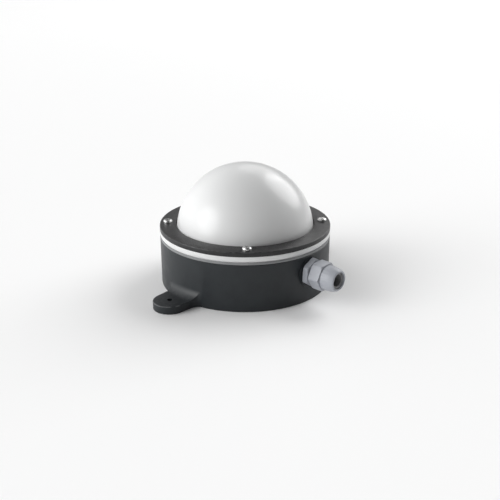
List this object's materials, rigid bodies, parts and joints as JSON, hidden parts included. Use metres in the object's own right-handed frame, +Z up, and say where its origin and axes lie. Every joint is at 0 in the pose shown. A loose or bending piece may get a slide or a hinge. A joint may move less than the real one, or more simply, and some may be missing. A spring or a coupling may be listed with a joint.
{
  "type": "radar dome antenna",
  "caption": "Small marine radar antenna: a rotating flat array under a sealed white dome on a round cast base with two mounting ears and a cable gland.",
  "frame": {"origin": "on the flat underside of the base, on the axis of the round body", "axes": "+Z up through the dome, X along the line of the two ear holes, -Y out through the cable gland"},
  "size_m": [0.208, 0.18, 0.105],
  "materials": {
    "anodised_ring": "black satin finish on a machined ring",
    "antenna_laminate": "cream microwave laminate",
    "bare_aluminium": "milled aluminium",
    "black_plastic": "moulded black plastic",
    "black_rubber": "black rubber, matt",
    "board_laminate": "green solder mask",
    "brass": "turned brass",
    "cast_housing": "black powder coat on cast aluminium, fine grain, satin",
    "copper": "bare copper",
    "dome_plastic": "white, glossy, slightly milky",
    "ferrite": "sintered, dark grey",
    "gasket_rubber": "mid-grey silicone, matt",
    "gear_acetal": "natural acetal",
    "gland_nylon": "light blue-grey nylon, satin",
    "gold_plate": "gold-plated contact",
    "green_plastic": "moulded green plastic",
    "machined_steel": "ground steel",
    "magnet_nickel": "nickel plate",
    "stainless_steel": "stainless steel, bright",
    "zinc_steel": "zinc-plated steel"
  },
  "bodies": {
    "base": {"base_gasket": "gasket_rubber", "base_housing": "cast_housing", "bearing_housing": "bare_aluminium", "board_screws": "zinc_steel", "board_standoffs": "brass", "brush_block": "black_plastic", "clamp_ring": "anodised_ring", "clamp_screws": "stainless_steel", "deck": "bare_aluminium", "deck_pillars": "bare_aluminium", "deck_screws": "zinc_steel", "dome": "dome_plastic", "gland_body": "gland_nylon", "gland_locknut": "gland_nylon", "gland_washer": "black_rubber", "housing_screws": "zinc_steel", "index_sensor": "black_plastic", "lower_bearing_outer_race": "machined_steel", "main_board": "board_laminate", "motor_bushes": "brass", "motor_can": "zinc_steel", "motor_screws": "zinc_steel", "motor_stator": "copper", "power_capacitors": "bare_aluminium", "power_inductor": "ferrite", "processor_chip": "black_plastic", "slip_ring_brushes": "gold_plate", "terminal_block": "green_plastic", "terminal_screws": "zinc_steel", "upper_bearing_outer_race": "machined_steel"},
    "scanner": {"spindle": "machined_steel", "spindle_clip": "machined_steel", "slip_ring": "black_plastic", "slip_ring_tracks": "gold_plate", "driven_gear": "gear_acetal", "turntable": "bare_aluminium", "turntable_screws": "zinc_steel", "antenna_bracket": "bare_aluminium", "bracket_screws": "zinc_steel", "antenna_backplate": "bare_aluminium", "antenna_board": "antenna_laminate", "antenna_patches": "copper", "panel_screws": "zinc_steel", "transceiver_board": "board_laminate", "transceiver_spacers": "brass", "transceiver_shield": "zinc_steel", "index_magnet": "magnet_nickel", "lower_bearing_inner_race": "machined_steel", "upper_bearing_inner_race": "machined_steel"},
    "lower_ball_row": {"lower_bearing_balls": "machined_steel"},
    "upper_ball_row": {"upper_bearing_balls": "machined_steel"},
    "motor_armature": {"motor_shaft": "machined_steel", "motor_rotor": "ferrite", "pinion": "brass"},
    "gland_sleeve": {"gland_seal": "black_rubber"},
    "gland_cap": {"gland_nut": "gland_nylon"}
  },
  "joints": [
    {"name": "antenna_spin", "type": "hinge", "parent": "base", "child": "scanner", "pos_m": [0, 0, 0.0445], "axis": [0, 0, 1], "continuous": true},
    {"name": "lower_balls_orbit", "type": "hinge", "parent": "base", "child": "lower_ball_row", "pos_m": [0, 0, 0.0255], "axis": [0, 0, 1], "continuous": true},
    {"name": "upper_balls_orbit", "type": "hinge", "parent": "base", "child": "upper_ball_row", "pos_m": [0, 0, 0.0335], "axis": [0, 0, 1], "continuous": true},
    {"name": "motor_spin", "type": "hinge", "parent": "base", "child": "motor_armature", "pos_m": [0, 0.042, 0.0315], "axis": [0, 0, 1], "continuous": true},
    {"name": "gland_sleeve_slide", "type": "slide", "parent": "base", "child": "gland_sleeve", "axis": [0, -1, 0], "range_m": [0, 0.0046]},
    {"name": "gland_nut_turn", "type": "hinge", "parent": "gland_sleeve", "child": "gland_cap", "pos_m": [0, -0.09, 0.0265], "axis": [0, -1, 0], "range_deg": [0, 1080]}
  ],
  "couplings": [
    {"joint": "lower_balls_orbit", "follows": "antenna_spin", "ratio": 0.40078},
    {"joint": "upper_balls_orbit", "follows": "antenna_spin", "ratio": 0.40078},
    {"joint": "motor_spin", "follows": "antenna_spin", "ratio": -6},
    {"joint": "gland_sleeve_slide", "follows": "gland_nut_turn", "m_per_rad": 0.00023873}
  ]
}
